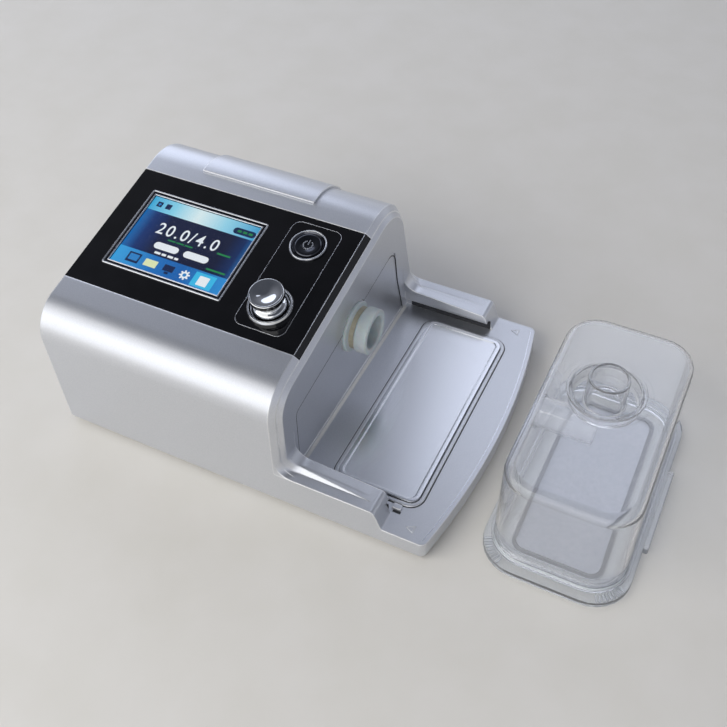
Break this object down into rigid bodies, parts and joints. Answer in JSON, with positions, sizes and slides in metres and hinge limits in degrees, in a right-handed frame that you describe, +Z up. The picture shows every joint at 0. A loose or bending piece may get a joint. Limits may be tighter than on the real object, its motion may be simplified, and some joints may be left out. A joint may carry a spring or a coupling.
{
  "type": "cpap machine",
  "caption": "Bedside breathing-therapy machine with a sloping control panel, push-and-turn knob, heater plate in an open bay, air nozzle and a clear water tank that lifts off.",
  "frame": {"origin": "on the table, at the centre of the rectangle that the machine and the tank beside it cover", "axes": "+X along the machine from its plain end to the tank, +Y to the back, +Z up"},
  "size_m": [0.339, 0.175, 0.1126],
  "materials": {
    "silver_shell": "satin silver lacquer on ABS",
    "grey_shell": "fine satin moulding",
    "black_panel": "polished acrylic",
    "bright_frame": "bright plated",
    "chrome": "mirror",
    "clear_lens": "polished",
    "display": "glass over a lit picture",
    "circuit_board": "solder mask",
    "dark_plastic": "fine texture",
    "white_plastic": "plain moulding",
    "black_rubber": "matt",
    "silicone": "milky, translucent",
    "aluminium_plate": "brushed satin",
    "heater_pad": "flexible heater",
    "steel": "plain",
    "foam": "open-cell foam",
    "clear_tank": "clear polycarbonate, polished"
  },
  "bodies": {
    "machine": {"top_housing": "silver_shell", "bay_rails": "silver_shell", "bottom_housing": "dark_plastic", "rubber_feet": "black_rubber", "housing_screws": "steel", "port_panel": "grey_shell", "outlet_seal": "silicone", "control_panel": "black_panel", "screen_bezel": "bright_frame", "display_lens": "clear_lens", "display_module": "display", "main_board": "circuit_board", "power_switch": "dark_plastic", "power_button_ring": "chrome", "knob_ring": "chrome", "encoder_body": "dark_plastic", "heater_frame": "grey_shell", "heater_springs": "steel", "blower_base": "dark_plastic", "blower_lid": "dark_plastic", "motor_stator": "steel", "blower_mount": "silicone", "air_duct": "silicone", "air_filter": "foam", "power_jack": "dark_plastic"},
    "power_button": {"power_button": "chrome"},
    "encoder_rotor": {"encoder_rotor": "dark_plastic"},
    "knob": {"knob": "chrome", "encoder_shaft": "steel"},
    "heater_plate": {"heater_plate": "aluminium_plate", "heater_element": "heater_pad"},
    "impeller": {"impeller": "white_plastic", "motor_rotor": "steel"},
    "filter_cover": {"filter_cover": "silver_shell"},
    "tank": {"tank_base": "clear_tank", "tank_plate": "steel", "tank_gasket": "silicone"},
    "tank_cover": {"tank_cover": "clear_tank", "outlet_fitting": "clear_tank", "inlet_duct": "clear_tank"}
  },
  "joints": [
    {"name": "power_button_press", "type": "slide", "parent": "machine", "child": "power_button", "axis": [0, 0.184, -0.9829], "range_m": [0, 0.0012], "stiffness_N_per_m": 400, "springref_m": -0.0008},
    {"name": "knob_turn", "type": "hinge", "parent": "machine", "child": "encoder_rotor", "pos_m": [-0.0495, -0.03528, 0.09724], "axis": [0, -0.184, 0.9829], "continuous": true},
    {"name": "knob_press", "type": "slide", "parent": "encoder_rotor", "child": "knob", "axis": [0, 0.184, -0.9829], "range_m": [0, 0.0008], "stiffness_N_per_m": 800, "springref_m": -0.0008},
    {"name": "heater_plate_press", "type": "slide", "parent": "machine", "child": "heater_plate", "axis": [0, 0, -1], "range_m": [0, 0.0018], "stiffness_N_per_m": 1500, "springref_m": -0.0015, "deforming": ["heater_springs"]},
    {"name": "impeller_spin", "type": "hinge", "parent": "machine", "child": "impeller", "pos_m": [-0.1095, 0.0245, 0.06], "axis": [0, 0, 1], "continuous": true},
    {"name": "filter_cover_off", "type": "slide", "parent": "machine", "child": "filter_cover", "axis": [0, 0.5329, 0.8462], "range_m": [0, 0.02]},
    {"name": "tank_lift", "type": "slide", "parent": "machine", "child": "tank", "axis": [0, 0, 1], "range_m": [0, 0.12]},
    {"name": "tank_cover_lift", "type": "slide", "parent": "tank", "child": "tank_cover", "axis": [0, 0, 1], "range_m": [0, 0.08]}
  ]
}
